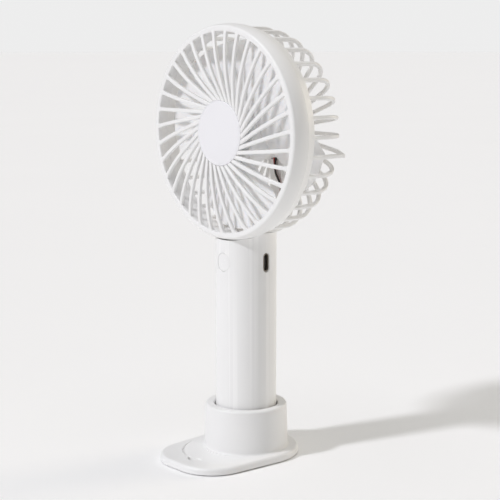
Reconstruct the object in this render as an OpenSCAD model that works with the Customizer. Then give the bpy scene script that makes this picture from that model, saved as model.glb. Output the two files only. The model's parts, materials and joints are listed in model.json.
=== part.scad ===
// Handheld electric fan, standing in its desk dock.
// The grip's axis is the Z axis, the dock's pad rests on Z = 0, and the fan blows towards -Y.

/* [Head] */
// Height of the blade axis above the surface
head_z = 165.5; // [160:0.5:175]
// Largest radius of the front ring, part way back along its barrel-shaped wall
ring_r = 53.3; // [52.5:0.1:54]
// Distance of the front ring's face ahead of the grip's axis
face_y = 16.9; // [16:0.1:18]
// Radius of the front ring's opening
opening_r = 49.4; // [48.5:0.1:50]
// Number of front spokes
spoke_count = 35; // [24:1:40]
// Width of a front spoke
spoke_w = 1.9; // [1.4:0.1:2.2]
// Distance by which each spoke's line misses the blade axis
spoke_miss = 10; // [4:0.5:12]
// Turn of the first spoke's outer end from +X towards +Z
spoke_phase = 3.6; // [0:0.1:10]
// Distance of the domed spokes' crest ahead of the grip's axis
crest_y = 19.3; // [19:0.1:19.6]
// Radius of the round badge in the middle of the grille
badge_r = 16.05; // [15.6:0.05:16.5]

/* [Rear guard] */
// Number of rear ribs
rib_count = 34; // [24:1:36]
// Thickness of a rib, measured round the blade axis
rib_w = 1.9; // [1.4:0.1:2.2]
// Depth of a rib, measured across its bent outline
rib_d = 2; // [1.6:0.1:2.4]
// Turn of the first rib from +X towards +Z
rib_phase = -0.6; // [-5:0.1:5]
// Outer radius of the rear guard
guard_r = 52; // [51.7:0.1:52.2]
// Distance of the ribs' rear face behind the grip's axis
guard_y = 22.3; // [22.2:0.1:23]

/* [Blades] */
// Number of blades
blade_count = 3; // [2:1:3]
// Radius of the blade tips
blade_r = 48; // [44:0.5:48.5]
// Largest half-width of a blade, in degrees round its axis
blade_half = 59; // [40:1:59]
// Turn of the first blade's middle from +X towards +Z
blade_phase = 18; // [0:1:119]

/* [Grip] */
// Outer radius of the grip
grip_r = 15.5; // [15.3:0.1:15.7]
// Wall of the grip's two shells
grip_wall = 1.6; // [1.4:0.1:1.8]
// Height of the power button and of the charging socket
control_z = 101; // [100:0.5:101.5]
// Radius of the power button
button_r = 4.5; // [4:0.1:4.6]
// Travel of the power button, which its stem and the switch leave room for
button_travel = 0.4; // [0.3:0.05:0.5]

/* [Dock] */
// Radius of the rear of the foot plate
plate_r = 27; // [26:0.5:29]
// Distance of the foot plate's front corners ahead of the grip's axis
toe_y = 27; // [26:0.5:30]
// Radius of the foot plate's front corners
toe_r = 20; // [19:0.5:21]
// Half of the distance between the front corners' centres
toe_x = 5; // [4:0.5:7]
// Height of the foot plate's top
plate_z = 4; // [3.8:0.1:4.4]
// Height of the collar's rim
collar_z = 26.4; // [24:0.2:30]
// Outer radius of the collar at its rim
collar_r = 20.96; // [20.5:0.02:21.4]
// Radius of the cup that the grip stands in
cup_r = 16.4; // [16.1:0.1:16.8]

/* [Hidden] */

// Colours
shell_white = [0.94, 0.94, 0.93];
badge_white = [0.94, 0.93, 0.96];
blade_white = [0.93, 0.93, 0.94];
steel = [0.72, 0.73, 0.75];
copper = [0.72, 0.42, 0.22];
brass = [0.78, 0.64, 0.34];
dark_plastic = [0.12, 0.12, 0.12];
wire_black = [0.05, 0.05, 0.05];
wire_red = [0.72, 0.12, 0.08];
board_green = [0.07, 0.30, 0.16];
pad_grey = [0.75, 0.75, 0.75];

// Head: distances along the blade axis are ahead of the grip's axis when positive
seam_y = 8;
rim_back_y = 3;
rim_flare = 0.9;
ring_inner_r = 50.5;
lap_r = 51.45;
lap_depth = 2.2;
spoke_t = 1.8;
crest_r = 30.9;
dome_r = 76;
seat_r = 14.9;
seat_back_y = 14.3;
seat_front_y = 17.2;
bend_r = 37.5;
bend_y = -6.5;
arm_w = 9;
neck_half_deg = 12.5;
stem_half_x = 8;
stem_y = [-5.5, 2.5];
stem_low_z = 106.2;
slack = 0.15;

// Motor, along the same axis
motor_r = 12.2;
motor_front_y = -7.45;
motor_back_y = -19.75;
can_wall = 0.8;
shaft_r = 1;
bush_bore_r = 1.04;
bush_r = 2.6;
motor_screw_x = 6;
cup_wall_y = [-7.4, -5.8];
seat_inner_r = 12.35;
seat_outer_r = 13.9;
rib_end_r = 13.4;
hub_flange_r = 17;
cover_r = 13.2;
cover_y = -21.1;

// Grip
bore_r = grip_r - grip_wall;
grip_low_z = 7.3;
cap_low_z = 5.1;
roof = 2.2;
screw_low_z = 80.9;
screw_top_z = 108.3;
screw_top_x = 5.5;
board_y = [1.7, 2.9];
board_z = [84, 105.9];
battery_r = 9.1;
battery_z = [12.9, 77.9];
cradle_z = [20, 44, 68];

// Dock
pad_t = 1.2;
pad_proud = 0.45;
collar_foot_r = 21.6;
cup_floor_z = 5;

// Points on a circular arc round c, from angle a0 to a1 in n steps
function arc(c, r, a0, a1, n) =
  [for (i = [0:n]) let (a = a0 + (a1 - a0) * i / n) [c[0] + r * cos(a), c[1] + r * sin(a)]];

// Points on an elliptical arc
function oval(c, rx, ry, a0, a1, n) =
  [for (i = [0:n]) let (a = a0 + (a1 - a0) * i / n) [c[0] + rx * cos(a), c[1] + ry * sin(a)]];

function unit(v) = v / norm(v);

// A point on a smooth curve through points p, where u counts points from the first
function through(p, u) =
  let (
    n = len(p),
    i = min(floor(u), n - 2),
    t = u - i,
    a = p[max(i - 1, 0)],
    b = p[i],
    c = p[i + 1],
    d = p[min(i + 2, n - 1)]
  )
  0.5 * (2 * b + (c - a) * t + (2 * a - 5 * b + 4 * c - d) * t * t + (3 * b - a - 3 * c + d) * t * t * t);

// A round lead of radius r through points p, with rings cross-sections of eight sides
module lead(p, r, rings) {
  sides = 8;
  last = len(p) - 1;
  centre = [for (k = [0:rings - 1]) through(p, last * k / (rings - 1))];
  points = [
    for (k = [0:rings - 1])
      let (
        along = unit(centre[min(k + 1, rings - 1)] - centre[max(k - 1, 0)]),
        side = unit(cross(along, [1, 0, 0])),
        up = cross(side, along)
      )
      for (j = [0:sides - 1]) centre[k] + r * (cos(j * 360 / sides) * side + sin(j * 360 / sides) * up)
  ];
  walls = [
    for (k = [0:rings - 2])
      for (j = [0:sides - 1])
        for (half = [0, 1])
          let (
            a = k * sides + j,
            b = k * sides + (j + 1) % sides,
            c = b + sides,
            d = a + sides
          )
          half == 0 ? [a, b, c] : [a, c, d]
  ];
  low_end = [[for (j = [sides - 1:-1:0]) j]];
  high_end = [[for (j = [0:sides - 1]) (rings - 1) * sides + j]];
  polyhedron(points, concat(walls, low_end, high_end));
}

// Puts a shape drawn about the Z axis onto the blade axis, with +Z facing forwards
module head() {
  translate([0, 0, head_z])
    rotate([90, 0, 0])
      children();
}

// A cylinder along the head's axis from y0 to y1
module disc(r, y0, y1) {
  translate([0, 0, y0])
    cylinder(r = r, h = y1 - y0, $fn = 96);
}

// A tube along the head's axis
module tube(ri, ro, y0, y1) {
  difference() {
    disc(ro, y0, y1);
    disc(ri, y0 - 1, y1 + 1);
  }
}

/* ---- Head ---- */

module front_grille() {
  barrel = 18;
  barrel_y = 10.5;
  edge = 1.4;
  low = asin((seam_y - barrel_y) / barrel);
  high = asin((face_y - edge - barrel_y) / barrel);
  edge_r = ring_r - barrel + barrel * cos(high) - edge;
  section = concat(
    arc([ring_r - barrel, barrel_y], barrel, low, high, 8),
    arc([edge_r, face_y - edge], edge, 18, 90, 5),
    arc([opening_r + 0.5, face_y - 0.5], 0.5, 90, 180, 3),
    [
      [opening_r, face_y - 2.4],
      [ring_inner_r, face_y - 3.4],
      [ring_inner_r, seam_y + lap_depth],
      [lap_r, seam_y + lap_depth],
      [lap_r, seam_y]
    ]
  );
  color(shell_white)
    head() {
      rotate_extrude($fn = 180)
        polygon(section);
      difference() {
        disc(seat_r, seat_back_y, seat_front_y);
        disc(seat_r - 1.6, seat_back_y - 1, seat_back_y + 1.2);
        disc(6.1, seat_back_y - 1, seat_front_y + 1);
      }
      difference() {
        for (i = [0:spoke_count - 1])
          rotate([0, 0, spoke_phase + asin(spoke_miss / opening_r) + i * 360 / spoke_count])
            spoke();
        // Room for the badge
        disc(badge_r + 0.1, seat_front_y, crest_y + 1);
      }
    }
}

// Distance of the spokes' front ahead of the grip's axis at a radius, on a shallow dome
function dome_y(r) = crest_y - dome_r + sqrt(pow(dome_r, 2) - pow(r - crest_r, 2));

// One spoke, straight when seen from the front, which passes the blade axis at the distance spoke_miss
module spoke() {
  steps = 8;
  inner = sqrt(pow(seat_r - 0.8, 2) - pow(spoke_miss, 2));
  outer = sqrt(pow(opening_r + 1, 2) - pow(spoke_miss, 2));
  front = [
    for (k = [0:steps])
      let (x = inner + (outer - inner) * k / steps) [x, dome_y(norm([x, spoke_miss]))]
  ];
  back = [for (k = [steps:-1:0]) front[k] - [0, spoke_t]];
  translate([0, spoke_w / 2 - spoke_miss, 0])
    rotate([90, 0, 0])
      linear_extrude(spoke_w)
        polygon(concat(front, back));
}

module badge_cap() {
  proud = 0.85;
  bevel = 0.35;
  color(badge_white)
    head() {
      rotate_extrude($fn = 120)
        polygon([
          [0, seat_front_y],
          [badge_r, seat_front_y],
          [badge_r, seat_front_y + proud - bevel],
          [badge_r - bevel, seat_front_y + proud],
          [0, seat_front_y + proud]
        ]);
      tube(4.6, 6, seat_back_y + 0.6, seat_front_y + 0.2);
    }
}

// Outline of a rear rib across its width: radius, then distance along the blade axis
function rib_outline() = concat(
  [[guard_r - rib_d, rim_back_y + 0.6], [guard_r, rim_back_y + 0.6]],
  oval([bend_r, bend_y], guard_r - bend_r, guard_y + bend_y, 0, -90, 12),
  [[rib_end_r, -guard_y], [rib_end_r, rib_d - guard_y]],
  oval([bend_r, bend_y], guard_r - bend_r - rib_d, guard_y + bend_y - rib_d, -90, 0, 12)
);

// The rib whose bend is a sharp corner and not a round one
function corner_rib_outline() = [
  [guard_r - rib_d, rim_back_y + 0.6],
  [guard_r, rim_back_y + 0.6],
  [guard_r - 0.1, 0.5 - guard_y + 3.2],
  [44, 0.1 - guard_y],
  [rib_end_r, -guard_y],
  [rib_end_r, rib_d - guard_y],
  [43.4, rib_d - guard_y + 0.1],
  [guard_r - rib_d - 0.1, rib_d - guard_y + 3.4]
];

module rib(outline, w) {
  rotate([90, 0, 0])
    linear_extrude(w, center = true)
      polygon(outline);
}

module rear_guard() {
  color(shell_white)
    head()
      difference() {
        union() {
          rotate_extrude($fn = 180)
            polygon([
              [ring_inner_r, rim_back_y],
              [guard_r, rim_back_y],
              [guard_r + rim_flare, seam_y],
              [lap_r - 0.05, seam_y],
              [lap_r - 0.05, seam_y + lap_depth - 0.1],
              [ring_inner_r, seam_y + lap_depth - 0.1]
            ]);
          for (i = [0:rib_count - 1])
            rotate([0, 0, rib_phase + i * 360 / rib_count])
              rib(i == rib_count - 1 ? corner_rib_outline() : rib_outline(), rib_w);
          rotate([0, 0, -90])
            rib(rib_outline(), arm_w);
          neck_saddle();
          neck_stem();
          disc(hub_flange_r, -guard_y - 0.1, rib_d - guard_y - 0.3);
          disc(seat_outer_r, -guard_y - 0.1, cup_wall_y[1]);
        }
        disc(seat_inner_r, -guard_y - 1, cup_wall_y[0]);
        disc(cover_r + 0.05, -guard_y - 1, cover_y);
        disc(3.3, cup_wall_y[0] - 1, cup_wall_y[1] + 1);
        for (side = [-1, 1])
          translate([side * motor_screw_x, 0, 0])
            disc(0.95, cup_wall_y[0] - 1, cup_wall_y[1] + 1);
        // Way out of the motor seat for the two leads
        translate([-3.6, -seat_outer_r - 1.2, cover_y])
          cube([7.2, 4, 2.4]);
        // Way down through the saddle for the two leads
        translate([-2.2, -guard_r - 3, -10.6])
          cube([4.4, 6, 4.2]);
        // Holes for the two neck screws
        for (side = [-1, 1])
          translate([side * screw_top_x, screw_top_z - head_z, 0])
            disc(1.02, stem_y[0] - 1, stem_y[1] - 1);
      }
}

// Curved plate at the foot of the guard, which sits on top of the grip
module neck_saddle() {
  rotate([0, 0, -90 - neck_half_deg])
    rotate_extrude(angle = 2 * neck_half_deg, $fn = 180)
      polygon(concat(
        [[guard_r - rib_d, rim_back_y + 0.6], [guard_r, rim_back_y + 0.6]],
        oval([bend_r, bend_y], guard_r - bend_r, guard_y + bend_y, 0, -28, 4),
        oval([bend_r, bend_y], guard_r - bend_r - rib_d, guard_y + bend_y - rib_d, -32, 0, 4)
      ));
}

// Block that goes down into the grip and is held there by two screws
module neck_stem() {
  low = stem_low_z - head_z;
  translate([-stem_half_x, low, stem_y[0]])
    cube([2 * stem_half_x, -guard_r + 1.2 - low, stem_y[1] - stem_y[0]]);
}

module rear_cover() {
  color(shell_white)
    head() {
      rotate_extrude($fn = 120)
        polygon([
          [0, cover_y],
          [cover_r, cover_y],
          [cover_r, 0.4 - guard_y],
          [cover_r - 0.5, -guard_y - 0.1],
          [0, -guard_y - 0.1]
        ]);
      difference() {
        tube(11.3, 12.3, cover_y - 0.1, cover_y + 0.9);
        translate([-4, -14, cover_y - 0.1])
          cube([8, 14, 2]);
      }
    }
}

/* ---- Blades and motor ---- */

// Two triangles that fill the four-sided face a, b, c, d
function halves(a, b, c, d) = [[a, b, c], [a, c, d]];

// A blade's surface: u runs from its rear, leading edge to its front edge, v from hub to tip.
// The blade climbs steeply from its rear edge and flattens out towards its front edge.
function blade_reach(v) = v < 0.7 ? 1 : sqrt(1 - pow((v - 0.7) / 0.32, 4));
function blade_point(u, v, side) =
  let (
    r = seat_r + (blade_r - seat_r) * v,
    turn = blade_half * (0.94 + 0.06 * sin(90 * v)) * blade_reach(v) * (2 * u - 1),
    rear = -6.2 - 2.2 * v,
    front = 7.4 + 0.6 * v,
    rise = 1 - pow(1 - u, 3),
    half_t = 0.3 + 0.45 * sin(180 * u) * (1.2 - 0.5 * v)
  )
  [r * cos(turn), r * sin(turn), rear + (front - rear) * rise + side * half_t];

module blade() {
  nu = 18;
  nv = 9;
  row = nv + 1;
  layer = (nu + 1) * row;
  points = [
    for (side = [-1, 1])
      for (i = [0:nu])
        for (j = [0:nv]) blade_point(i / nu, j / nv, side)
  ];
  skins = [
    for (s = [0, 1])
      for (i = [0:nu - 1])
        for (j = [0:nv - 1])
          let (
            a = s * layer + i * row + j,
            b = a + row
          )
          each s == 0 ? halves(a, a + 1, b + 1, b) : halves(a, b, b + 1, a + 1)
  ];
  ends = [
    for (i = [0, nu])
      for (j = [0:nv - 1])
        let (a = i * row + j, c = a + layer)
        each i == 0 ? halves(a, c, c + 1, a + 1) : halves(a, a + 1, c + 1, c)
  ];
  rims = [
    for (j = [0, nv])
      for (i = [0:nu - 1])
        let (a = i * row + j, b = a + row)
        each j == 0 ? halves(a, b, b + layer, a + layer) : halves(a, a + layer, b + layer, b)
  ];
  polyhedron(points, concat(skins, ends, rims));
}

module impeller() {
  hub_r = 15.5;
  skirt_r = 14.4;
  front = 9;
  color(blade_white)
    head() {
      difference() {
        rotate_extrude($fn = 120)
          polygon(concat(
            [[0, -7], [hub_r, -7]],
            arc([hub_r - 2, front - 2], 2, 0, 90, 5),
            [[0, front]]
          ));
        disc(skirt_r, -8, front - 1.3);
      }
      difference() {
        disc(3.2, 0, front - 1);
        disc(shaft_r, -1, 5);
      }
      for (i = [0:blade_count - 1])
        rotate([0, 0, blade_phase + i * 360 / blade_count])
          blade();
    }
}

module motor_can() {
  color(steel)
    head()
      difference() {
        union() {
          disc(motor_r, motor_back_y, motor_front_y);
          disc(3.1, motor_front_y - 1, motor_front_y + 1.2);
        }
        disc(motor_r - can_wall, motor_back_y - 1, motor_front_y - can_wall);
        disc(bush_r, motor_front_y - 2, motor_front_y + 2);
        for (side = [-1, 1])
          translate([side * motor_screw_x, 0, 0])
            disc(0.85, motor_front_y - 2, motor_front_y + 2);
      }
}

// Two curved magnets inside the can
module motor_magnets() {
  span = 140;
  color([0.25, 0.25, 0.27])
    head()
      for (turn = [-span / 2, 180 - span / 2])
        rotate([0, 0, turn])
          translate([0, 0, motor_back_y + 3])
            rotate_extrude(angle = span, $fn = 96)
              translate([10.1, 0])
                square([motor_r - can_wall - 10.1, 7.4]);
}

module motor_end_cap() {
  color(dark_plastic)
    head()
      difference() {
        disc(motor_r - can_wall, motor_back_y, motor_back_y + 1.4);
        disc(bush_r, motor_back_y - 1, motor_back_y + 2);
        for (side = [-1, 1])
          translate([side * 6 - 0.35, -1.2, motor_back_y - 1])
            cube([0.7, 2.4, 3]);
      }
}

// Front and rear bushes that carry the shaft
module motor_bushes() {
  color(brass)
    head() {
      tube(bush_bore_r, bush_r, motor_front_y - 2.6, motor_front_y + 1.2);
      tube(bush_bore_r, bush_r, motor_back_y + 0.1, motor_back_y + 1.9);
    }
}

module motor_shaft() {
  color(steel)
    head()
      disc(shaft_r, motor_back_y + 0.2, 4.8);
}

// Iron core with three wide poles
module armature_core() {
  color([0.45, 0.45, 0.47])
    head()
      difference() {
        disc(9.6, -15.6, -11.2);
        disc(shaft_r, -17, -10);
        for (i = [0:2])
          rotate([0, 0, 30 + i * 120])
            translate([0, 0, -17])
              difference() {
                translate([2.6, -3.6, 0])
                  cube([8, 7.2, 8]);
                cylinder(r = 3.4, h = 8, $fn = 48);
              }
      }
}

// One coil on each pole, in front of and behind the core
module armature_windings() {
  color(copper)
    head()
      for (i = [0:2])
        rotate([0, 0, 90 + i * 120])
          for (y = [-16.4, -11.1])
            translate([3.6, -2.6, y])
              cube([4.2, 5.2, 0.7]);
}

module commutator() {
  color(copper)
    head()
      difference() {
        disc(2.3, -17.4, -15.7);
        disc(shaft_r, -18, -15);
        for (i = [0:2])
          rotate([0, 0, i * 120])
            translate([1.5, -0.15, -18])
              cube([2, 0.3, 4]);
      }
}

// Two spring strips that reach the commutator, with their terminals behind the end cap
module motor_brushes() {
  color(brass)
    head()
      for (side = [-1, 1])
        mirror([side < 0 ? 1 : 0, 0, 0]) {
          translate([5.75, -1, motor_back_y - 0.7])
            cube([0.5, 2, 3.6]);
          translate([2.4, -0.8, motor_back_y + 2.6])
            cube([3.5, 1.6, 0.3]);
        }
}

// A small pan-head screw along +Z: head on top of z = 0, shank below
module screw(head_r, head_h, shank_r, length) {
  difference() {
    union() {
      cylinder(r = head_r, h = head_h, $fn = 48);
      translate([0, 0, -length])
        cylinder(r = shank_r, h = length + 0.1, $fn = 32);
    }
    for (turn = [0, 90])
      rotate([0, 0, turn])
        translate([-head_r * 0.6, -0.2, head_h - 0.45])
          cube([head_r * 1.2, 0.4, 1]);
  }
}

module motor_screws() {
  color(steel)
    head()
      for (side = [-1, 1])
        translate([side * motor_screw_x, 0, cup_wall_y[1]])
          screw(1.7, 1, 0.84, 2.6);
}

// Routes of the leads: every point is in the fan's own frame
motor_route_black = [
  [5.6, 20.4, 164], [4.8, 20.4, 158], [1.6, 20.4, 153.6], [1.4, 18.9, 149.6],
  [2, 18.6, 143.6], [5.2, 18.6, 138.6], [6, 18.5, 134], [5.6, 18.2, 129], [4, 15.4, 122],
  [1.8, 10.2, 117], [1.1, 8.6, 113], [1, 8.2, 109], [1, 5.2, 104.4], [1, 3.6, 103.6]
];
motor_route_red = [
  [-5.6, 20.4, 164], [-4.6, 20.4, 158], [-1.6, 20.4, 153.6], [0, 19.5, 149.6],
  [1, 19.5, 143.6], [4.2, 19.5, 138.6], [4.9, 19.3, 134], [4, 18.2, 129], [2.4, 15.4, 122],
  [0.2, 10.2, 117], [-1, 8.6, 113], [-1, 8.2, 109], [-1.2, 5.2, 104.4], [-1.4, 3.6, 103.6]
];
battery_route_black = [
  [2, 3, 12], [2, 7, 12], [2.4, 10.6, 15], [2.4, 11, 30], [2.4, 11, 50],
  [2.4, 11, 72], [3.8, 10.4, 79], [4.4, 7.4, 84], [4.4, 4.6, 87], [4.4, 3.6, 87.4]
];
battery_route_red = [
  [-2.6, 4, 78.8], [-3.8, 7, 79.6], [-4.6, 8.4, 82], [-4.4, 7, 85], [-4.4, 4.6, 87], [-4.4, 3.6, 87.4]
];
lead_r = 0.55;

module motor_lead_black() {
  color(wire_black)
    lead(motor_route_black, lead_r, 49);
}

module motor_lead_red() {
  color(wire_red)
    lead(motor_route_red, lead_r, 49);
}

/* ---- Grip ---- */

// The space that the head takes above the grip, grown outwards by extra
module head_space(extra) {
  head()
    rotate_extrude($fn = 180)
      polygon(concat(
        [[0, 22], [ring_r + extra, 22], [ring_r + extra, seam_y - slack], [guard_r + extra, rim_back_y - slack]],
        oval([bend_r, bend_y], guard_r - bend_r + extra, guard_y + bend_y + extra, 0, -44, 6),
        [[0, bend_y - 11.1 - extra]]
      ));
}

// Both shells in one piece, before they are cut apart at y = 0
module grip_shells() {
  difference() {
    translate([0, 0, grip_low_z])
      cylinder(r = grip_r, h = 112, $fn = 120);
    difference() {
      translate([0, 0, grip_low_z - 1])
        cylinder(r = bore_r, h = 112, $fn = 120);
      head_space(slack + roof);
    }
    head_space(slack);
    // Slot in the roof for the guard's stem
    translate([-stem_half_x - slack, -stem_y[1] - slack, 104])
      cube([2 * (stem_half_x + slack), stem_y[1] - stem_y[0] + 2 * slack, 14]);
    // Slot in the roof for the leads
    translate([-2.4, 5, 104])
      cube([4.8, 6, 16]);
    socket_opening();
  }
}

// Rounded opening for the charging socket, half in each shell
module socket_opening() {
  tall = 9.5;
  wide = 3.9;
  translate([8, 0, control_z])
    rotate([0, 90, 0]) {
      for (side = [-1, 1])
        translate([side * (tall - wide) / 2, 0, 0])
          cylinder(r = wide / 2, h = 12, $fn = 48);
      translate([(wide - tall) / 2, -wide / 2, 0])
        cube([tall - wide, wide, 12]);
    }
}

// A cylinder along Y from y0 to y1
module along_y(r, x, z, y0, y1) {
  translate([x, y0, z])
    rotate([-90, 0, 0])
      cylinder(r = r, h = y1 - y0, $fn = 48);
}

// Half-ring ribs that hold the battery cell, on the side that side names
module cradles(side) {
  for (z = cradle_z)
    translate([0, 0, z])
      intersection() {
        difference() {
          cylinder(r = bore_r + 0.3, h = 1.2, $fn = 96);
          translate([0, 0, -1])
            cylinder(r = battery_r + 0.2, h = 4, $fn = 96);
          if (side > 0)
            translate([-4.4, 0, -1])
              cube([8.8, 20, 4]);
        }
        translate([-20, side > 0 ? 0 : -20, -1])
          cube([40, 20, 4]);
      }
}

module handle_front() {
  color(shell_white)
    difference() {
      union() {
        intersection() {
          grip_shells();
          translate([-20, -20, 0])
            cube([40, 20, 140]);
        }
        cradles(-1);
        // Post that takes the lower shell screw
        difference() {
          along_y(2.6, 0, screw_low_z, -bore_r - 0.3, -0.1);
          along_y(0.98, 0, screw_low_z, -8, 1);
        }
      }
      along_y(button_r + 0.2, 0, control_z, -20, -10);
    }
}

module handle_rear() {
  color(shell_white)
    difference() {
      union() {
        intersection() {
          grip_shells();
          translate([-20, 0, 0])
            cube([40, 20, 140]);
        }
        cradles(1);
        along_y(2.6, 0, screw_low_z, 0, bore_r + 0.3);
        // Pads that the two neck screws clamp against the stem
        intersection() {
          for (side = [-1, 1])
            along_y(2.6, side * screw_top_x, screw_top_z, -stem_y[0] + slack, grip_r);
          cylinder(r = bore_r + 0.3, h = 112, $fn = 96);
        }
        // Posts under the circuit board
        for (side = [-1, 1])
          difference() {
            intersection() {
              along_y(2.2, side * 8, 87.5, board_y[1], grip_r);
              cylinder(r = bore_r + 0.3, h = 112, $fn = 96);
            }
            along_y(0.75, side * 8, 87.5, 0, 8);
          }
      }
      shell_screw_holes();
    }
}

// Clearance holes and head recesses in the rear shell
module shell_screw_holes() {
  along_y(1.1, 0, screw_low_z, -1, 20);
  along_y(2.05, 0, screw_low_z, 12.6, 20);
  for (side = [-1, 1]) {
    along_y(1.1, side * screw_top_x, screw_top_z, 5, 20);
    along_y(2.05, side * screw_top_x, screw_top_z, 11.6, 20);
  }
}

// Three identical screws: one under the board and two through the neck
module handle_screws() {
  color(steel) {
    translate([0, 12.6, screw_low_z])
      rotate([-90, 0, 0])
        screw(1.9, 1.2, 0.96, 18);
    for (side = [-1, 1])
      translate([side * screw_top_x, 11.6, screw_top_z])
        rotate([-90, 0, 0])
          screw(1.9, 1.2, 0.96, 11.5);
  }
}

// Round plug that closes the lower end of the grip
module handle_cap() {
  color(shell_white)
    rotate_extrude($fn = 120)
      polygon([
        [0, cap_low_z],
        [grip_r - 0.8, cap_low_z],
        [grip_r, cap_low_z + 0.8],
        [grip_r, grip_low_z],
        [bore_r - 0.05, grip_low_z],
        [bore_r - 0.05, grip_low_z + 4],
        [bore_r - 1.5, grip_low_z + 4],
        [bore_r - 1.5, grip_low_z],
        [0, grip_low_z]
      ]);
}

// Button with a domed face that follows the grip, a flange behind the wall, and a stem
module power_button() {
  face = grip_r - 0.1;
  color(shell_white) {
    intersection() {
      along_y(button_r, 0, control_z, -20, -12);
      translate([0, 0, control_z - 10])
        cylinder(r = face, h = 20, $fn = 120);
    }
    along_y(button_r + 0.9, 0, control_z, -12.4, -11.6);
    along_y(1.6, 0, control_z, -12, -3.5);
  }
}

module switch_plunger() {
  color(dark_plastic)
    along_y(1.7, 0, control_z, -3.5, -1.3);
}

module push_switch() {
  color([0.18, 0.18, 0.18])
    difference() {
      translate([-3, -1.9, control_z - 3])
        cube([6, board_y[0] + 1.9, 6]);
      along_y(1.8, 0, control_z, -3, -1 + button_travel);
    }
}

module main_board() {
  color(board_green)
    difference() {
      translate([-11, board_y[0], board_z[0]])
        cube([23.4, board_y[1] - board_y[0], board_z[1] - board_z[0]]);
      for (side = [-1, 1])
        along_y(0.9, side * 8, 87.5, 0, 4);
    }
}

module board_screws() {
  color(steel)
    for (side = [-1, 1])
      translate([side * 8, board_y[0], 87.5])
        rotate([90, 0, 0])
          screw(1.6, 0.9, 0.73, 5.5);
}

module charge_chip() {
  color([0.1, 0.1, 0.11])
    translate([-9.6, board_y[0] - 1.3, 92])
      cube([4.6, 1.3, 4.9]);
}

module boost_inductor() {
  color([0.3, 0.3, 0.31])
    translate([-2.4, board_y[0] - 2.8, 89])
      cube([5, 2.8, 5]);
}

module filter_capacitor() {
  color([0.70, 0.72, 0.76])
    along_y(2.4, -7.2, 101, board_y[0] - 5.4, board_y[0]);
}

// Outline of the charging socket, its long side along Z
module socket_outline(tall, wide, from, to) {
  translate([from, 0, control_z])
    rotate([0, 90, 0]) {
      for (side = [-1, 1])
        translate([side * (tall - wide) / 2, 0, 0])
          cylinder(r = wide / 2, h = to - from, $fn = 48);
      translate([(wide - tall) / 2, -wide / 2, 0])
        cube([tall - wide, wide, to - from]);
    }
}

module usb_shell() {
  color(steel)
    difference() {
      socket_outline(8.94, 3.2, 7.8, 15.1);
      socket_outline(8.34, 2.6, 8.8, 16);
    }
}

module usb_tongue() {
  color(dark_plastic)
    translate([8.8, -0.35, control_z - 3.3])
      cube([5.4, 0.7, 6.6]);
}

module battery_cell() {
  crimp = 0.35;
  groove_z = battery_z[1] - 4;
  color([0.20, 0.42, 0.62])
    rotate_extrude($fn = 96)
      polygon([
        [0, battery_z[0]],
        [battery_r - 0.5, battery_z[0]],
        [battery_r, battery_z[0] + 0.5],
        [battery_r, groove_z - 0.8],
        [battery_r - crimp, groove_z],
        [battery_r, groove_z + 0.8],
        [battery_r, battery_z[1] - 0.9],
        [battery_r - 0.6, battery_z[1] - 0.5],
        [3.2, battery_z[1] - 0.5],
        [3.2, battery_z[1]],
        [0, battery_z[1]]
      ]);
}

// Nickel strips welded to the cell's two ends
module battery_tabs() {
  color(steel) {
    translate([-2.5, -4, battery_z[0] - 0.3])
      cube([5, 8, 0.3]);
    translate([-2.5, -3, battery_z[1]])
      cube([5, 7, 0.3]);
  }
}

module battery_lead_black() {
  color(wire_black)
    lead(battery_route_black, lead_r, 37);
}

module battery_lead_red() {
  color(wire_red)
    lead(battery_route_red, lead_r, 21);
}

/* ---- Dock ---- */

// Places a shape at the rear and at the two front corners of the foot plate
module plate_corners() {
  hull() {
    children(0);
    for (side = [-1, 1])
      translate([side * toe_x, -toe_y, 0])
        children(1);
  }
}

// One rounded corner of the foot plate
module plate_corner(r) {
  edge = 1.7;
  rotate_extrude($fn = 64)
    polygon(concat(
      [[0, pad_proud], [r - 0.5, pad_proud], [r, pad_proud + 0.5]],
      arc([r - edge, plate_z - edge], edge, 0, 90, 5),
      [[0, plate_z]]
    ));
}

// Shallow tray in front of the collar, deepest at its rounded front wall
module tray() {
  depth = 1.7;
  slope = 5.2;
  intersection() {
    union() {
      translate([0, -15, 0])
        cylinder(r = 21.5, h = 12, $fn = 96);
      // Thumb notch at the front of the tray
      translate([1.5, -35.6, 0])
        cylinder(r = 3.6, h = 12, $fn = 48);
    }
    translate([0, -36.5, plate_z - depth])
      rotate([slope, 0, 0])
        translate([-30, -8, 0])
          cube([60, 60, 12]);
  }
}

module dock_body() {
  wall_foot = 1.2;
  color(shell_white)
    difference() {
      union() {
        difference() {
          plate_corners() {
            plate_corner(plate_r);
            plate_corner(toe_r);
          }
          tray();
        }
        rotate_extrude($fn = 120)
          polygon(concat(
            [[0, 2], [collar_foot_r + wall_foot, 2], [collar_foot_r + wall_foot, plate_z]],
            arc([collar_foot_r + wall_foot, plate_z + wall_foot], wall_foot, 270, 180, 4),
            arc([collar_r - 1.1, collar_z - 1.1], 1.1, 0, 90, 5),
            [[0, collar_z]]
          ));
      }
      translate([0, 0, cup_floor_z])
        cylinder(r = cup_r, h = 40, $fn = 120);
      // Lead-in at the mouth of the cup
      translate([0, 0, collar_z - 0.8])
        cylinder(r1 = cup_r, r2 = cup_r + 1, h = 1, $fn = 120);
      pad_shape(0.1, pad_t - pad_proud + 0.1, pad_proud - 0.1);
    }
}

// Outline of the pad, grown outwards by grow, with thickness t from height z
module pad_shape(grow, t, z) {
  inset = 4.5;
  translate([0, 0, z])
    linear_extrude(t)
      hull() {
        circle(r = plate_r - inset + grow, $fn = 96);
        for (side = [-1, 1])
          translate([side * toe_x, -toe_y])
            circle(r = toe_r - inset + grow, $fn = 96);
      }
}

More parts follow.
